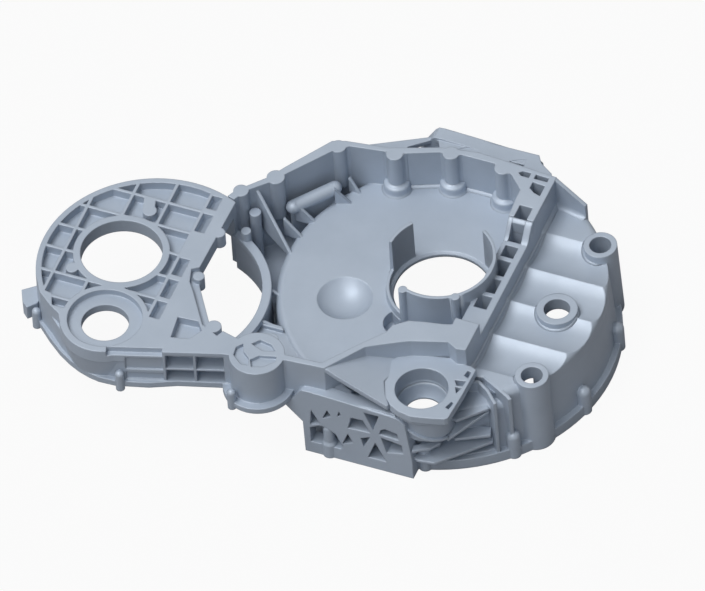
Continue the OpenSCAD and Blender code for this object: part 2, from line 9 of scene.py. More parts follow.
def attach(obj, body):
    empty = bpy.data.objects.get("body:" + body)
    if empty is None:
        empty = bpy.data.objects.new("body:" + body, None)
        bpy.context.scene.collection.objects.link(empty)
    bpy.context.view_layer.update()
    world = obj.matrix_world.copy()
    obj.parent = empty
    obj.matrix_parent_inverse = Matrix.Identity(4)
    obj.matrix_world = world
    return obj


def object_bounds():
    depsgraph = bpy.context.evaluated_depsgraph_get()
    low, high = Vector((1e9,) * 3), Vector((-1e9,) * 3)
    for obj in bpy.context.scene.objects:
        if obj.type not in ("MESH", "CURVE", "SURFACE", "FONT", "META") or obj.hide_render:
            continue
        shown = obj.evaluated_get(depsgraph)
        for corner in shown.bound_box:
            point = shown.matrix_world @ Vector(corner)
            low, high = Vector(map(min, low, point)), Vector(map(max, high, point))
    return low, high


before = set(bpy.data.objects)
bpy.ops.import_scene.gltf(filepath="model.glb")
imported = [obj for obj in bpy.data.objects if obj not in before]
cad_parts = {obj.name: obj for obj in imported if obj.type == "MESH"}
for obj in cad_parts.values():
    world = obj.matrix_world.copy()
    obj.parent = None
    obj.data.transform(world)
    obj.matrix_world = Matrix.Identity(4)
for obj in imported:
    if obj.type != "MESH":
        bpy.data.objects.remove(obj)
CAD_BOX = [list(corner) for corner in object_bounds()]
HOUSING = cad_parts["flywheel_housing"]

bl_info = {
    "name": "Flywheel housing dressing",
    "version": (1, 0, 0),
    "blender": (4, 5, 0),
    "location": "3D View > Sidebar > Housing",
    "description": "Finish, foundry fillets and studio for a cast flywheel housing",
    "category": "Object",
}

# The drawing's frame in pixels, the length of one pixel in metres, and the pixel where the crank axis
# meets the flange's face
FRAME_WIDTH, FRAME_HEIGHT = 705, 591
PIXEL = 0.001529
AXIS_PIXEL = (446.5, 337.5)

# The drawing's view in degrees: its turn to the right, its height above the level and its roll
VIEW_TURN, VIEW_HEIGHT, VIEW_ROLL = 25.2, 48.2, 4.5

# Foot of the chamber wall on the flat floor, in plan, as three runs that the far bosses part. The right
# run comes from the near left corner.
WALL_FEET = {
    "right": np.array([
        (-0.148, -0.266), (-0.090, -0.263), (-0.047, -0.205), (-0.020, -0.172), (-0.016, -0.156),
        (0.004, -0.139), (0.030, -0.133), (0.058, -0.128), (0.070, -0.124), (0.070, 0.086),
        (0.066, 0.150), (0.066, 0.166), (0.042, 0.190),
    ]),
    "far": np.array([(0.009, 0.203), (-0.046, 0.203)]),
    "left": np.array([(-0.079, 0.197), (-0.129, 0.177)]),
}
WALL_CORNER = 0.012

# The two stretches of the broken ring's outer foot that stand on the flat floor, in degrees
CRANK_AXIS = (0.0, 0.0)
RING_FEET = {"near": (52, -106), "far": (177, 144)}

# Bosses in the far chamber wall: the axis in plan, and two points of the wall's inner line beside it
FAR_BOSSES = np.array([
    [(-0.1435, 0.171), (-0.159, 0.171), (-0.129, 0.177)],
    [(-0.0625, 0.201), (-0.079, 0.197), (-0.046, 0.203)],
    [(0.024, 0.1985), (0.008, 0.203), (0.042, 0.190)],
])

# Buttress on the far rim of the roof: its outer face in plan and the height of its top, at both ends
BUTTRESS_FROM, BUTTRESS_TO = (0.1085, 0.2075, 0.188), (0.1620, 0.1975, 0.1565)

# Web between the far mount plate and the outside of the chamber wall, in plan
FAR_WEB = np.array([
    (-0.117, 0.274), (-0.209, 0.224), (-0.234, 0.196), (-0.243, 0.166), (-0.224, 0.168),
    (-0.165, 0.177), (-0.152, 0.239), (-0.117, 0.268),
])

# Middle lines of the flutes of the roof, by their y
FLUTE_CENTRES = np.array([-0.111, -0.039, 0.033, 0.105])

# Port and tall pillars on the roof: their axes in plan and the radii of their feet
PORT, PORT_RADIUS = (0.190, 0.0), 0.032
PILLARS = {"near": np.array([0.205, -0.141]), "far": np.array([0.205, 0.141])}
PILLAR_RADIUS = 0.0264

# Ladder band: the y of both ends of its outer face and of the upper end of its ramps
BAND_FAR, BAND_NEAR = 0.2065, -0.158
RAMP_TOP = 0.1105

# Starter bore and the round boss under its pad, in plan
STARTER_BORE = (0.0615, -0.234)
STARTER_BOSS = (0.0665, -0.234)

# Lip that winds down round the starter boss: angles in degrees and heights that its top passes near
STARTER_LIP = np.array([(-112.0, 0.1065), (-70.0, 0.0915), (-32.5, 0.0825), (-24.0, 0.0800)])

# How far a piece's hidden sides lie inside the casting, and how far it ends below the gasket face
SUNK, HAIR = 0.0005, 0.0001

# Points of a fine full turn, of an arc in plan and of the long foot of the ladder band
TURN_STEPS, ARC_STEPS, BAND_STEPS = 97, 64, 220

# Edges sharper than this, in degrees, stay sharp in the shading
SHARP_ANGLE = 40

# Stage: half the floor's side, the gap between it and the part, its tone, the share of what the camera
# sees of it that is its own glow, and the level at which the white room lights matt surfaces
FLOOR_HALF, FLOOR_GAP = 6.0, 0.0005
FLOOR_TONE, FLOOR_GLOW = (0.34, 0.34, 0.35, 1), 0.94
ROOM_LEVEL = 0.13

# Lamps: the direction towards each, its strength, and its spread in degrees
LAMPS = {
    "key": ((-0.33, -0.20, 1.0), 1.75, 30),
    "fill": ((-0.05, -0.62, 0.78), 1.10, 40),
}
CAMERA_DISTANCE = 3.0


class HousingSizes(bpy.types.PropertyGroup):
    """Sizes of the fillets, feet, webs and ramps, and of the surfaces that they meet."""

    wall_fillet: bpy.props.FloatProperty(
        name="Wall fillet", description="Radius of the fillet at the foot of the chamber wall",
        default=0.0045, unit="LENGTH", subtype="DISTANCE")
    ring_fillet: bpy.props.FloatProperty(
        name="Ring fillet", description="Radius of the fillets at the foot of the broken ring",
        default=0.004, unit="LENGTH", subtype="DISTANCE")
    collar_fillet: bpy.props.FloatProperty(
        name="Collar fillet", description="Radius of the fillets round the pillars and the port",
        default=0.0035, unit="LENGTH", subtype="DISTANCE")
    buttress_fillet: bpy.props.FloatProperty(
        name="Buttress fillet", description="Radius of the fillet between the buttress and the roof",
        default=0.008, unit="LENGTH", subtype="DISTANCE")
    floor_height: bpy.props.FloatProperty(
        name="Floor height", description="Height of the flat floor of the gear chamber",
        default=0.110, unit="LENGTH", subtype="DISTANCE")
    ring_outer: bpy.props.FloatProperty(
        name="Ring outer radius", description="Outer radius of the broken ring at its foot",
        default=0.0875, unit="LENGTH", subtype="DISTANCE")
    crest_height: bpy.props.FloatProperty(
        name="Crest height", description="Height of the ridges of the fluted roof",
        default=0.131, unit="LENGTH", subtype="DISTANCE")
    band_fillet: bpy.props.FloatProperty(
        name="Band fillet", description="Radius of the fillet at the foot of the band's outer face",
        default=0.006, unit="LENGTH", subtype="DISTANCE")
    flute_pitch: bpy.props.FloatProperty(
        name="Flute pitch", description="Distance between two ridges of the fluted roof",
        default=0.072, unit="LENGTH", subtype="DISTANCE")
    flute_sag: bpy.props.FloatProperty(
        name="Flute depth", description="Depth of a flute below its ridges",
        default=0.009, unit="LENGTH", subtype="DISTANCE")
    bell_radius: bpy.props.FloatProperty(
        name="Bell radius", description="Outer radius of the bell at its top",
        default=0.256, unit="LENGTH", subtype="DISTANCE")
    band_side: bpy.props.FloatProperty(
        name="Band side", description="Distance of the ladder band's outer face from the crank axis",
        default=0.109, unit="LENGTH", subtype="DISTANCE")
    gasket_height: bpy.props.FloatProperty(
        name="Gasket height", description="Height of the gasket face of the chamber wall",
        default=0.188, unit="LENGTH", subtype="DISTANCE")
    boss_radius: bpy.props.FloatProperty(
        name="Boss radius", description="Radius of the bosses in the far chamber wall",
        default=0.013, unit="LENGTH", subtype="DISTANCE")
    boss_blend: bpy.props.FloatProperty(
        name="Boss blend", description="Radius of the upright blends between a boss and the wall",
        default=0.006, unit="LENGTH", subtype="DISTANCE")
    foot_radius: bpy.props.FloatProperty(
        name="Foot radius", description="Radius of the round foot of a boss, above its fillet",
        default=0.0205, unit="LENGTH", subtype="DISTANCE")
    foot_height: bpy.props.FloatProperty(
        name="Foot height", description="Height of the round foot of a boss",
        default=0.016, unit="LENGTH", subtype="DISTANCE")
    web_height: bpy.props.FloatProperty(
        name="Web height", description="Height of the top of the far web",
        default=0.129, unit="LENGTH", subtype="DISTANCE")
    web_thick: bpy.props.FloatProperty(
        name="Web thickness", description="Thickness of the far web",
        default=0.008, unit="LENGTH", subtype="DISTANCE")
    band_height: bpy.props.FloatProperty(
        name="Band height", description="Height of the lowered ladder band",
        default=0.162, unit="LENGTH", subtype="DISTANCE")
    bowl_centre: bpy.props.FloatProperty(
        name="Bowl centre", description="Height of the centre of the bowl under the starter bore",
        default=0.1265, unit="LENGTH", subtype="DISTANCE")
    bowl_radius: bpy.props.FloatProperty(
        name="Bowl radius", description="Radius of the bowl under the starter bore",
        default=0.0405, unit="LENGTH", subtype="DISTANCE")
    bowl_hole: bpy.props.FloatProperty(
        name="Bowl hole", description="Radius of the hole in the bottom of the bowl",
        default=0.0292, unit="LENGTH", subtype="DISTANCE")
    ramp_length: bpy.props.FloatProperty(
        name="Ramp length", description="Length of the ramps from the gasket face down to the band",
        default=0.030, unit="LENGTH", subtype="DISTANCE")
    buttress_thick: bpy.props.FloatProperty(
        name="Buttress thickness", description="Thickness of the buttress on the far rim of the roof",
        default=0.006, unit="LENGTH", subtype="DISTANCE")


class HousingFinish(bpy.types.PropertyGroup):
    """Colours and grain of the raw casting."""

    metal: bpy.props.FloatVectorProperty(
        name="Metal", description="Mean colour of the raw casting",
        default=(0.362, 0.422, 0.505), size=3, min=0.0, max=1.0, subtype="COLOR")
    pale: bpy.props.FloatVectorProperty(
        name="Pale cloud", description="Colour of the lighter clouds in the skin of the casting",
        default=(0.400, 0.462, 0.548), size=3, min=0.0, max=1.0, subtype="COLOR")
    grain_size: bpy.props.FloatProperty(
        name="Grain scale", description="Grains of the blasted skin in a metre",
        default=900.0, min=1.0)
    edge_radius: bpy.props.FloatProperty(
        name="Edge radius", description="Radius at which the light rolls over the cast edges",
        default=0.003, unit="LENGTH", subtype="DISTANCE")


def solid_mesh(name, grid, closed_path):
    """Makes a closed tube from a grid of points: rows go along a path, columns round its section.

    A face joins each point to the next in its row and in the next row. An open path gets a flat
    cap at each end. The sum over the faces of centre times area normal has the sign of the
    volume, and the faces are turned over if it is negative.
    """
    rows, columns = grid.shape[:2]
    index = np.arange(rows * columns).reshape(rows, columns)
    ahead = np.roll(index, -1, axis=0)
    if not closed_path:
        index, ahead = index[:-1], ahead[:-1]
    quads = np.stack(
        [index, np.roll(index, -1, axis=1), np.roll(ahead, -1, axis=1), ahead], axis=-1).reshape(-1, 4)
    points = grid.reshape(-1, 3)
    a, b, c, d = (points[quads[:, k]] for k in range(4))
    signed_volume = np.einsum("ij,ij->i", a + b + c + d, np.cross(c - a, d - b)).sum()
    faces = quads.tolist()
    if not closed_path:
        faces.append(np.arange(columns)[::-1].tolist())
        faces.append((np.arange(columns) + (rows - 1) * columns).tolist())
    if signed_volume < 0:
        faces = [face[::-1] for face in faces]
    mesh = bpy.data.meshes.new(name)
    mesh.from_pydata(points.tolist(), [], faces)
    if mesh.validate():
        raise ValueError(f"{name} has faces that don't fit together")
    mesh.polygons.foreach_set("use_smooth", [True] * len(mesh.polygons))
    mesh.set_sharp_from_angle(angle=math.radians(SHARP_ANGLE))
    return mesh


def arc(centre, radius, start, end, steps):
    """Points on a circle in a plane, from one angle to another in degrees."""
    turn = np.radians(np.linspace(start, end, steps))
    return np.stack([centre[0] + radius * np.cos(turn), centre[1] + radius * np.sin(turn)], axis=1)


def heading(direction):
    """Angle of a plan direction in degrees, counted from the x axis."""
    return math.degrees(math.atan2(direction[1], direction[0]))


def fillet_section(radius, steps=8, buried=0.0004):
    """Section of a concave fillet as (distance from the wall, height above the floor).

    The visible side is a quarter of a circle whose centre is one radius from the wall and one
    radius above the floor, so it meets both without a step. The other sides lie just under
    the two surfaces.
    """
    quarter = arc((radius, radius), radius, 270, 180, steps)
    return np.vstack([[(radius, -buried)], quarter, [(-buried, radius)], [(-buried, -buried)]])


def path_normals(path, closed_path):
    """Left hand normals of a plan path, drawn out at its corners so that the offset keeps its width.

    Each corner takes the sum of the unit normals of the two runs that meet there, divided by one
    plus the cosine of the angle between them.
    """
    after = np.roll(path, -1, axis=0) - path
    before = path - np.roll(path, 1, axis=0)
    if not closed_path:
        after[-1], before[0] = before[-1], after[0]
    after /= np.linalg.norm(after, axis=1, keepdims=True)
    before /= np.linalg.norm(before, axis=1, keepdims=True)
    n_after = np.stack([-after[:, 1], after[:, 0]], axis=1)
    n_before = np.stack([-before[:, 1], before[:, 0]], axis=1)
    return (n_after + n_before) / (1 + np.sum(n_after * n_before, axis=1, keepdims=True))


def fillet_along(path, radius, ground, closed_path=False, fade=0.0):
    """Grid of a fillet carried along a plan path, on its left side.

    A point is the path point plus its normal times the section's distance; its height is the
    height of the ground under it plus the section's height. With a fade, the section shrinks
    towards both ends by the square root of the sine of the share of the fade that is covered.
    """
    section = fillet_section(radius)
    scale = np.ones(len(path))
    if fade:
        share = np.linspace(0, 1, len(path))
        near_end = np.clip(np.minimum(share, 1 - share) / fade, 0.01, 1)
        scale = np.sqrt(np.sin(near_end * math.pi / 2))
    normals = path_normals(path, closed_path)
    across = scale[:, None] * section[None, :, 0]
    plan = path[:, None, :] + normals[:, None, :] * across[..., None]
    height = ground(plan) + scale[:, None] * section[None, :, 1]
    return np.concatenate([plan, height[..., None]], axis=-1)


def turned(centre, profile, start, end, steps):
    """Grid of a profile of (radius, height) turned about an upright axis, between two angles.

    A point is the centre plus the radius times the cosine and the sine of the angle, which is
    in degrees.
    """
    turn = np.radians(np.linspace(start, end, steps))[:, None]
    x = centre[0] + profile[None, :, 0] * np.cos(turn)
    y = centre[1] + profile[None, :, 0] * np.sin(turn)
    height = np.broadcast_to(profile[None, :, 1], x.shape)
    return np.stack([x, y, height], axis=-1)


def upright(outline, low, high):
    """Grid of an upright bar: the plan outline at its low and at its high end."""
    ends = np.array([low, high])[:, None]
    height = np.broadcast_to(ends, (2, len(outline)))[..., None]
    return np.concatenate([np.broadcast_to(outline, (2, *outline.shape)), height], axis=-1)


def boss_foot_profile(sizes):
    """Profile of the round foot of a boss, as (radius, height).

    A hollow quarter circle leaves the boss, a round shoulder turns down, and a hollow quarter
    circle meets the floor. The last points lie inside the boss and under the floor.
    """
    shoulder, upper, lower = 0.0045, 0.003, 0.0035
    top, side = sizes.foot_height, sizes.foot_radius
    middle = side - shoulder
    root = middle - upper - SUNK
    profile = np.vstack([
        [(root, top + upper)],
        arc((middle, top + upper), upper, 180, 270, 6),
        arc((middle, top - shoulder), shoulder, 90, 0, 8),
        arc((side + lower, lower), lower, 180, 270, 6),
        [(side + lower, -SUNK), (root, -SUNK)],
    ])
    return profile + np.array([0, sizes.floor_height])


def blend_outline(centre, radius, start, end, blend, side):
    """Plan outline of the hollow blend between a round boss and a straight wall, on one side.

    The blend's circle lies one blend from the wall and one blend from the boss, so its centre
    is found from the right triangle on the line between the two centres. The outline follows
    that circle from the wall to the boss and closes inside them. The side is -1 towards the
    start of the wall's line and 1 towards its end.
    """
    share_in_boss, depth_in_wall = 0.6, 0.002
    along = (end - start) / np.linalg.norm(end - start)
    inward = np.array([along[1], -along[0]])
    off = np.dot(centre - start, inward)
    reach = math.sqrt((radius + blend) ** 2 - (blend - off) ** 2)
    on_wall = centre - inward * off + along * reach * side
    middle = on_wall + inward * blend
    first = heading(-inward)
    turn = (heading(centre - middle) - first + 180) % 360 - 180
    curve = arc(middle, blend, first, first + turn, 10)
    in_boss = centre + (curve[-1] - centre) * share_in_boss
    return np.vstack([curve, [in_boss, on_wall - inward * depth_in_wall]])


def rounded_path(path, radius, steps=5):
    """A plan polyline with each inner corner replaced by a short curve.

    The curve runs between the points one radius before and after the corner, or less where a
    run is short. It is the sum of (1-t)^2 times the first, 2t(1-t) times the corner and t^2
    times the last, for t from 0 to 1.
    """
    longest_share = 0.45
    t = np.linspace(0, 1, steps)[:, None]
    parts = [path[:1]]
    for first, corner, last in zip(path[:-2], path[1:-1], path[2:]):
        back, ahead = first - corner, last - corner
        shorter = min(np.linalg.norm(back), np.linalg.norm(ahead))
        reach = min(radius, longest_share * shorter)
        a = corner + back / np.linalg.norm(back) * reach
        b = corner + ahead / np.linalg.norm(ahead) * reach
        parts.append((1 - t) ** 2 * a + 2 * t * (1 - t) * corner + t ** 2 * b)
    parts.append(path[-1:])
    return np.vstack(parts)


def add_piece(name, grid, material, closed_path=False):
    """Puts a piece with the surface of a grid into the scene, riding on the casting."""
    piece = bpy.data.objects.new(name, solid_mesh(name, grid, closed_path))
    bpy.context.scene.collection.objects.link(piece)
    piece.data.materials.append(material)
    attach(piece, "root")
    return piece


def noise(tree, place, scale, detail, roughness=0.5):
    """Adds a noise that is fixed to the object's own coordinates, and gives back its value."""
    texture = tree.nodes.new("ShaderNodeTexNoise")
    texture.inputs["Scale"].default_value = scale
    texture.inputs["Detail"].default_value = detail
    texture.inputs["Roughness"].default_value = roughness
    tree.links.new(place.outputs["Object"], texture.inputs["Vector"])
    return texture.outputs["Fac"]


def bump(tree, height, normal, strength, distance):
    """Adds a bump to a normal, and gives back the new normal."""
    relief = tree.nodes.new("ShaderNodeBump")
    relief.inputs["Strength"].default_value = strength
    relief.inputs["Distance"].default_value = distance
    tree.links.new(height, relief.inputs["Height"])
    tree.links.new(normal, relief.inputs["Normal"])
    return relief.outputs["Normal"]


def casting_material():
    """Raw cast aluminium: pale clouds, blasted grain, and light that rolls over every edge."""
    known = bpy.data.materials.get("raw_casting")
    if known:
        return known
    finish = bpy.context.scene.housing_finish
    material = bpy.data.materials.new("raw_casting")
    material.use_nodes = True
    tree = material.node_tree
    nodes, links = tree.nodes, tree.links
    shader = nodes["Principled BSDF"]
    shader.inputs["Metallic"].default_value = 0.15
    shader.inputs["Specular IOR Level"].default_value = 0.5
    place = nodes.new("ShaderNodeTexCoord")

    clouds = noise(tree, place, 9.0, 5.0, roughness=0.6)
    colour = nodes.new("ShaderNodeValToRGB")
    colour.color_ramp.elements[0].position = 0.36
    colour.color_ramp.elements[0].color = (*finish.metal, 1.0)
    colour.color_ramp.elements[1].position = 0.68
    colour.color_ramp.elements[1].color = (*finish.pale, 1.0)
    links.new(clouds, colour.inputs["Fac"])
    links.new(colour.outputs["Color"], shader.inputs["Base Color"])

    mottle = noise(tree, place, 60.0, 4.0)
    rough = nodes.new("ShaderNodeMapRange")
    rough.inputs["To Min"].default_value = 0.38
    rough.inputs["To Max"].default_value = 0.50
    links.new(mottle, rough.inputs["Value"])
    links.new(rough.outputs["Result"], shader.inputs["Roughness"])

    edges = nodes.new("ShaderNodeBevel")
    edges.samples = 6
    edges.inputs["Radius"].default_value = finish.edge_radius

    grain = noise(tree, place, finish.grain_size, 2.0)
    grained = bump(tree, grain, edges.outputs["Normal"], 0.10, 0.0004)
    waves = noise(tree, place, 28.0, 2.0)
    waved = bump(tree, waves, grained, 0.12, 0.0015)
    links.new(waved, shader.inputs["Normal"])
    return material


class HOUSING_OT_casting(bpy.types.Operator):
    """Gives the casting its raw aluminium finish."""

    bl_idname = "housing.casting"
    bl_label = "Casting finish"

    def execute(self, context):
        HOUSING.data.materials.clear()
        HOUSING.data.materials.append(casting_material())
        return {"FINISHED"}


class HOUSING_OT_chamber_fillets(bpy.types.Operator):
    """Adds the fillets at the foot of the chamber wall and of the broken ring."""

    bl_idname = "housing.chamber_fillets"
    bl_label = "Chamber fillets"

    def execute(self, context):
        sizes = context.scene.housing_sizes
        material = casting_material()

        def flat_floor(plan):
            return np.full(plan.shape[:2], sizes.floor_height)

        for side, foot in WALL_FEET.items():
            grid = fillet_along(rounded_path(foot, WALL_CORNER), sizes.wall_fillet, flat_floor)
            add_piece(f"wall_fillet_{side}", grid, material)
        for side, (start, end) in RING_FEET.items():
            path = arc(CRANK_AXIS, sizes.ring_outer, start, end, ARC_STEPS)
            grid = fillet_along(path, sizes.ring_fillet, flat_floor)
            add_piece(f"ring_fillet_{side}", grid, material)
        return {"FINISHED"}


class HOUSING_OT_boss_feet(bpy.types.Operator):
    """Adds the round feet of the bosses in the far wall, and their blends into the wall."""

    bl_idname = "housing.boss_feet"
    bl_label = "Boss feet"

    def execute(self, context):
        sizes = context.scene.housing_sizes
        material = casting_material()
        profile = boss_foot_profile(sizes)
        low, high = sizes.floor_height - SUNK, sizes.gasket_height - HAIR
        overlap = 0.0012
        for number, (centre, start, end) in enumerate(FAR_BOSSES, 1):
            along = (end - start) / np.linalg.norm(end - start)
            inward = np.array([along[1], -along[0]])
            # The turn goes on until both ends are inside the wall
            off = np.dot(centre - start, inward) + overlap
            half = 90 + math.degrees(math.asin(off / sizes.boss_radius))
            middle = heading(inward)
            grid = turned(centre, profile, middle - half, middle + half, 49)
            add_piece(f"boss_foot_{number}", grid, material)
            for side, name in ((-1, "left"), (1, "right")):
                outline = blend_outline(centre, sizes.boss_radius, start, end, sizes.boss_blend, side)
                add_piece(f"boss_blend_{number}_{name}", upright(outline, low, high), material)
        return {"FINISHED"}


class HOUSING_OT_roof_fillets(bpy.types.Operator):
    """Adds the fillets where the port ring and the tall pillars stand on the fluted roof."""

    bl_idname = "housing.roof_fillets"
    bl_label = "Roof fillets"

    def execute(self, context):
        sizes = context.scene.housing_sizes
        material = casting_material()
        roof = roof_height(sizes)

        path = arc(PORT, PORT_RADIUS, 360, 0, TURN_STEPS)[:-1]
        grid = fillet_along(path, sizes.collar_fillet, roof, closed_path=True)
        add_piece("port_fillet", grid, material, closed_path=True)

        # The pillars' fillets face the crank axis and fade out towards the rim
        half_turn = 80
        for side, centre in PILLARS.items():
            middle = heading(-centre)
            path = arc(centre, PILLAR_RADIUS, middle + half_turn, middle - half_turn, ARC_STEPS)
            grid = fillet_along(path, sizes.collar_fillet, roof, fade=0.35)
            add_piece(f"pillar_fillet_{side}", grid, material)

        # At the foot of the ladder band, from its far end towards the starter pad
        across = np.linspace(BAND_FAR, BAND_NEAR, BAND_STEPS)
        path = np.stack([np.full_like(across, sizes.band_side), across], axis=1)
        grid = fillet_along(path, sizes.band_fillet, roof, fade=0.02)
        add_piece("band_fillet", grid, material)
        return {"FINISHED"}


def roof_height(sizes):
    """Gives the function that tells the height of the fluted roof over a plan point.

    In each flute the roof is a hollow of one radius, found from the pitch and the depth. Beyond
    the outer flutes it is flat, and at the rim it rolls down on a round shoulder.
    """
    half = sizes.flute_pitch / 2
    flute_radius = (half ** 2 + sizes.flute_sag ** 2) / (2 * sizes.flute_sag)
    shoulder, shoulder_inset, flat_rise = 0.014, 0.0148, 0.001
    middle = sizes.bell_radius - shoulder_inset
    flat = sizes.crest_height + flat_rise

    def height(plan):
        off = np.abs(plan[..., 1, None] - FLUTE_CENTRES).min(axis=-1)
        hollow = sizes.crest_height - sizes.flute_sag + flute_radius
        hollow = hollow - np.sqrt(flute_radius ** 2 - np.minimum(off, half) ** 2)
        level = np.where(off < half, hollow, flat)
        past = np.clip(np.hypot(plan[..., 0], plan[..., 1]) - middle, 0, shoulder)
        rolled = flat - shoulder + np.sqrt(shoulder ** 2 - past ** 2)
        return np.minimum(level, rolled)

    return height


class HOUSING_OT_buttress(bpy.types.Operator):
    """Adds the sloping buttress that runs from the far corner of the chamber to the roof's rim."""

    bl_idname = "housing.buttress"
    bl_label = "Buttress"

    def execute(self, context):
        sizes = context.scene.housing_sizes
        roof = roof_height(sizes)
        thick, fillet, buried = sizes.buttress_thick, sizes.buttress_fillet, 0.004
        steps = 40
        share = np.linspace(0, 1, steps)[:, None]
        run = np.array(BUTTRESS_FROM) + share * (np.array(BUTTRESS_TO) - np.array(BUTTRESS_FROM))
        plan, top = run[:, :2], run[:, 2:]
        along = plan[-1] - plan[0]
        inward = np.array([along[1], -along[0]]) / np.linalg.norm(along)

        def ground(distance):
            return roof(plan + inward * distance)[:, None]

        # Each column is one line along the buttress: its distance inwards and its heights
        quarter = arc((thick + fillet, fillet), fillet, 180, 270, 10)
        columns = [(0.0, ground(0.0) - buried), (0.0, top), (thick, top)]
        columns += [(distance, ground(distance) + rise) for distance, rise in quarter]
        columns += [(thick + fillet, ground(thick + fillet) - buried)]
        grid = np.stack(
            [np.hstack([plan + inward * distance, height]) for distance, height in columns], axis=1)
        add_piece("far_buttress", grid, casting_material())
        return {"FINISHED"}


class HOUSING_OT_far_web(bpy.types.Operator):
    """Adds the level web between the far mount plate and the chamber wall."""

    bl_idname = "housing.far_web"
    bl_label = "Far web"

    def execute(self, context):
        sizes = context.scene.housing_sizes
        grid = upright(FAR_WEB, sizes.web_height - sizes.web_thick, sizes.web_height)
        add_piece("far_left_web", grid, casting_material())
        return {"FINISHED"}


def ramp_profile(sizes, start):
    """Side outline of a ramp as (y, height), from a start to the upper end of the ramps.

    The top falls from the gasket face to the band as half a cosine wave over the ramp's
    length. The foot lies just under the band.
    """
    across = np.linspace(start, RAMP_TOP, 16)
    share = np.clip((RAMP_TOP - across) / sizes.ramp_length, 0, 1)
    drop = (sizes.gasket_height - sizes.band_height) * (1 - np.cos(math.pi * share)) / 2
    top = np.stack([across, sizes.gasket_height - HAIR - drop], axis=1)
    foot = sizes.band_height - SUNK
    return np.vstack([top, [(RAMP_TOP, foot), (start, foot)]])


class HOUSING_OT_band_ramps(bpy.types.Operator):
    """Adds the curved ramps where the rails of the ladder band come down from the gasket face."""

    bl_idname = "housing.band_ramps"
    bl_label = "Band ramps"

    def execute(self, context):
        sizes = context.scene.housing_sizes
        ramp_foot = RAMP_TOP - sizes.ramp_length
        # Each ramp: the x of its two sides and the y where it starts
        ramps = {
            "left": (0.0701, 0.0770, ramp_foot),
            "right": (0.0980, 0.1089, ramp_foot),
            "rung": (0.0769, 0.0981, 0.1030),
        }
        for name, (inner, outer, start) in ramps.items():
            profile = ramp_profile(sizes, start)
            sides = np.array([inner, outer])[:, None]
            x = np.broadcast_to(sides, (2, len(profile)))[..., None]
            grid = np.concatenate([x, np.broadcast_to(profile, (2, *profile.shape))], axis=-1)
            add_piece(f"band_ramp_{name}", grid, casting_material())
        return {"FINISHED"}


class HOUSING_OT_starter_boss(bpy.types.Operator):
    """Adds the shell of the starter bowl and the lip that winds round the starter boss."""

    bl_idname = "housing.starter_boss"
    bl_label = "Starter boss"

    def execute(self, context):
        sizes = context.scene.housing_sizes
        material = casting_material()

        # Both sides of the shell are spheres about one centre: the inner one lies a hair inside the
        # solid's bowl, and the outer one is in the boss
        proud, shell_thick, widest = 0.0003, 0.0010, 0.0401
        inner = sizes.bowl_radius - proud
        outer = inner + shell_thick
        radius = np.linspace(sizes.bowl_hole, widest, 24)
        inside = sizes.bowl_centre - np.sqrt(inner ** 2 - radius ** 2)
        outside = sizes.bowl_centre - np.sqrt(outer ** 2 - radius ** 2)
        profile = np.vstack([
            np.stack([radius, inside], axis=1), np.stack([radius, outside], axis=1)[::-1]])
        grid = turned(STARTER_BORE, profile, 0, 360, TURN_STEPS)[:-1]
        add_piece("bowl_shell", grid, material, closed_path=True)

        # The lip is a plain bar, and the height of its top is a parabola of the angle
        root, edge, thick, steps = 0.0420, 0.0475, 0.0035, 60
        section = np.array([(root, -thick), (edge, -thick), (edge, 0.0), (root, 0.0)])
        angles, heights = STARTER_LIP.T
        curve = np.polyfit(angles, heights, 2)
        grid = turned(STARTER_BOSS, section, angles[0], angles[-1], steps)
        grid[..., 2] += np.polyval(curve, np.linspace(angles[0], angles[-1], steps))[:, None]
        add_piece("starter_lip", grid, material)
        return {"FINISHED"}


def photo_axes():
    """Right, up and back directions of the camera.

    Back points to the camera at its turn and height. Right is level and square to it, up is
    the cross product of the two, and the roll then turns right and up about back.
    """
    turn, height, roll = (math.radians(angle) for angle in (VIEW_TURN, VIEW_HEIGHT, VIEW_ROLL))
    level = math.cos(height)
    back = Vector((math.sin(turn) * level, -math.cos(turn) * level, math.sin(height)))
    right = Vector((math.cos(turn), math.sin(turn), 0))
    up = back.cross(right)
    return (
        right * math.cos(roll) - up * math.sin(roll),
        right * math.sin(roll) + up * math.cos(roll),
        back,
    )


def sun_light(name, toward, strength, spread):
    """Adds a soft far lamp that stands in a direction, with its spread in degrees."""
    lamp = bpy.data.lights.new(name, "SUN")
    lamp.energy = strength
    lamp.angle = math.radians(spread)
    holder = bpy.data.objects.new(name, lamp)
    bpy.context.scene.collection.objects.link(holder)
    holder.rotation_euler = Vector(toward).to_track_quat("Z", "Y").to_euler()


def pale_floor():
    """Matt pale material that keeps its shadow, with a glow that only the camera sees."""
    material = bpy.data.materials.new("pale_floor")
    material.use_nodes = True
    nodes, links = material.node_tree.nodes, material.node_tree.links
    matt = nodes["Principled BSDF"]
    matt.inputs["Base Color"].default_value = FLOOR_TONE
    matt.inputs["Roughness"].default_value = 0.9
    glow = nodes.new("ShaderNodeEmission")
    glow.inputs["Strength"].default_value = 1.0
    rays = nodes.new("ShaderNodeLightPath")
    share = nodes.new("ShaderNodeMath")
    share.operation = "MULTIPLY"
    share.inputs[1].default_value = FLOOR_GLOW
    links.new(rays.outputs["Is Camera Ray"], share.inputs[0])
    mix = nodes.new("ShaderNodeMixShader")
    links.new(share.outputs[0], mix.inputs[0])
    links.new(matt.outputs[0], mix.inputs[1])
    links.new(glow.outputs[0], mix.inputs[2])
    links.new(mix.outputs[0], nodes["Material Output"].inputs["Surface"])
    return material


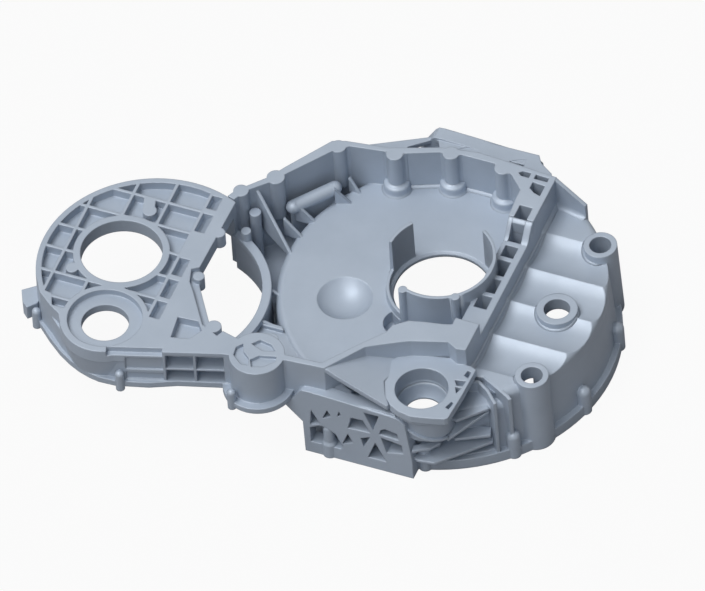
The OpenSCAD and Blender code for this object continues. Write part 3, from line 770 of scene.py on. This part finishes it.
def white_room():
    """White surroundings: at full strength in the picture and in reflections, low on matt surfaces."""
    world = bpy.data.worlds.new("white_room")
    world.use_nodes = True
    nodes, links = world.node_tree.nodes, world.node_tree.links
    sky = nodes["Background"]
    sky.inputs["Color"].default_value = (1, 1, 1, 1)
    rays = nodes.new("ShaderNodeLightPath")
    seen = nodes.new("ShaderNodeMath")
    seen.operation = "MAXIMUM"
    seen_more = nodes.new("ShaderNodeMath")
    seen_more.operation = "MAXIMUM"
    links.new(rays.outputs["Is Camera Ray"], seen.inputs[0])
    links.new(rays.outputs["Is Glossy Ray"], seen.inputs[1])
    links.new(seen.outputs[0], seen_more.inputs[0])
    links.new(rays.outputs["Is Transmission Ray"], seen_more.inputs[1])
    level = nodes.new("ShaderNodeMapRange")
    level.inputs["To Min"].default_value = ROOM_LEVEL
    level.inputs["To Max"].default_value = 1.0
    links.new(seen_more.outputs[0], level.inputs["Value"])
    links.new(level.outputs["Result"], sky.inputs["Strength"])
    return world


def photo_camera():
    """Parallel camera of the drawing's view, placed so that the crank axis falls on its pixel.

    The middle of the frame lies off the axis by the pixels between the two, times the length
    of one pixel.
    """
    right, up, back = photo_axes()
    across = AXIS_PIXEL[0] - FRAME_WIDTH / 2
    down = AXIS_PIXEL[1] - FRAME_HEIGHT / 2
    centre = -right * across * PIXEL + up * down * PIXEL
    lens = bpy.data.cameras.new("photo_camera")
    lens.type = "ORTHO"
    lens.ortho_scale = FRAME_WIDTH * PIXEL
    lens.clip_start, lens.clip_end = 0.05, 20.0
    camera = bpy.data.objects.new("photo_camera", lens)
    turn = Matrix((right, up, back)).transposed().to_4x4()
    camera.matrix_world = Matrix.Translation(centre + back * CAMERA_DISTANCE) @ turn
    return camera


class HOUSING_OT_stage(bpy.types.Operator):
    """Sets the floor, the white surroundings, the lamps and the camera."""

    bl_idname = "housing.stage"
    bl_label = "Stage"

    def execute(self, context):
        scene = context.scene
        scene.view_settings.view_transform = "Standard"

        level = CAD_BOX[0][2] - FLOOR_GAP
        signs = [(-1, -1), (1, -1), (1, 1), (-1, 1)]
        corners = [(FLOOR_HALF * x, FLOOR_HALF * y, level) for x, y in signs]
        mesh = bpy.data.meshes.new("floor")
        mesh.from_pydata(corners, [], [(0, 1, 2, 3)])
        floor = bpy.data.objects.new("floor", mesh)
        scene.collection.objects.link(floor)
        floor.data.materials.append(pale_floor())

        scene.world = white_room()
        for name, (toward, strength, spread) in LAMPS.items():
            sun_light(name, toward, strength, spread)
        camera = photo_camera()
        scene.collection.objects.link(camera)
        scene.camera = camera
        return {"FINISHED"}


class HOUSING_PT_panel(bpy.types.Panel):
    """Lists the sizes, the finish and the steps of the dressing."""

    bl_idname = "HOUSING_PT_panel"
    bl_label = "Flywheel housing"
    bl_space_type = "VIEW_3D"
    bl_region_type = "UI"
    bl_category = "Housing"

    def draw(self, context):
        layout = self.layout
        for group in (context.scene.housing_sizes, context.scene.housing_finish):
            for name in group.__annotations__:
                layout.prop(group, name)
        for operator in OPERATORS:
            layout.operator(operator.bl_idname)


OPERATORS = (
    HOUSING_OT_casting, HOUSING_OT_chamber_fillets, HOUSING_OT_boss_feet, HOUSING_OT_roof_fillets,
    HOUSING_OT_buttress, HOUSING_OT_far_web, HOUSING_OT_band_ramps, HOUSING_OT_starter_boss,
    HOUSING_OT_stage,
)
CLASSES = (HousingSizes, HousingFinish, *OPERATORS, HOUSING_PT_panel)


def register():
    """Registers the classes and hangs the two groups on the scene."""
    for cls in CLASSES:
        bpy.utils.register_class(cls)
    bpy.types.Scene.housing_sizes = bpy.props.PointerProperty(type=HousingSizes)
    bpy.types.Scene.housing_finish = bpy.props.PointerProperty(type=HousingFinish)


def unregister():
    """Takes the groups and the classes away again."""
    del bpy.types.Scene.housing_finish
    del bpy.types.Scene.housing_sizes
    for cls in reversed(CLASSES):
        bpy.utils.unregister_class(cls)


def main():
    """Runs every step in order."""
    register()
    bpy.ops.housing.casting()
    bpy.ops.housing.chamber_fillets()
    bpy.ops.housing.boss_feet()
    bpy.ops.housing.roof_fillets()
    bpy.ops.housing.buttress()
    bpy.ops.housing.far_web()
    bpy.ops.housing.band_ramps()
    bpy.ops.housing.starter_boss()
    bpy.ops.housing.stage()


if __name__ == "__main__":
    main()
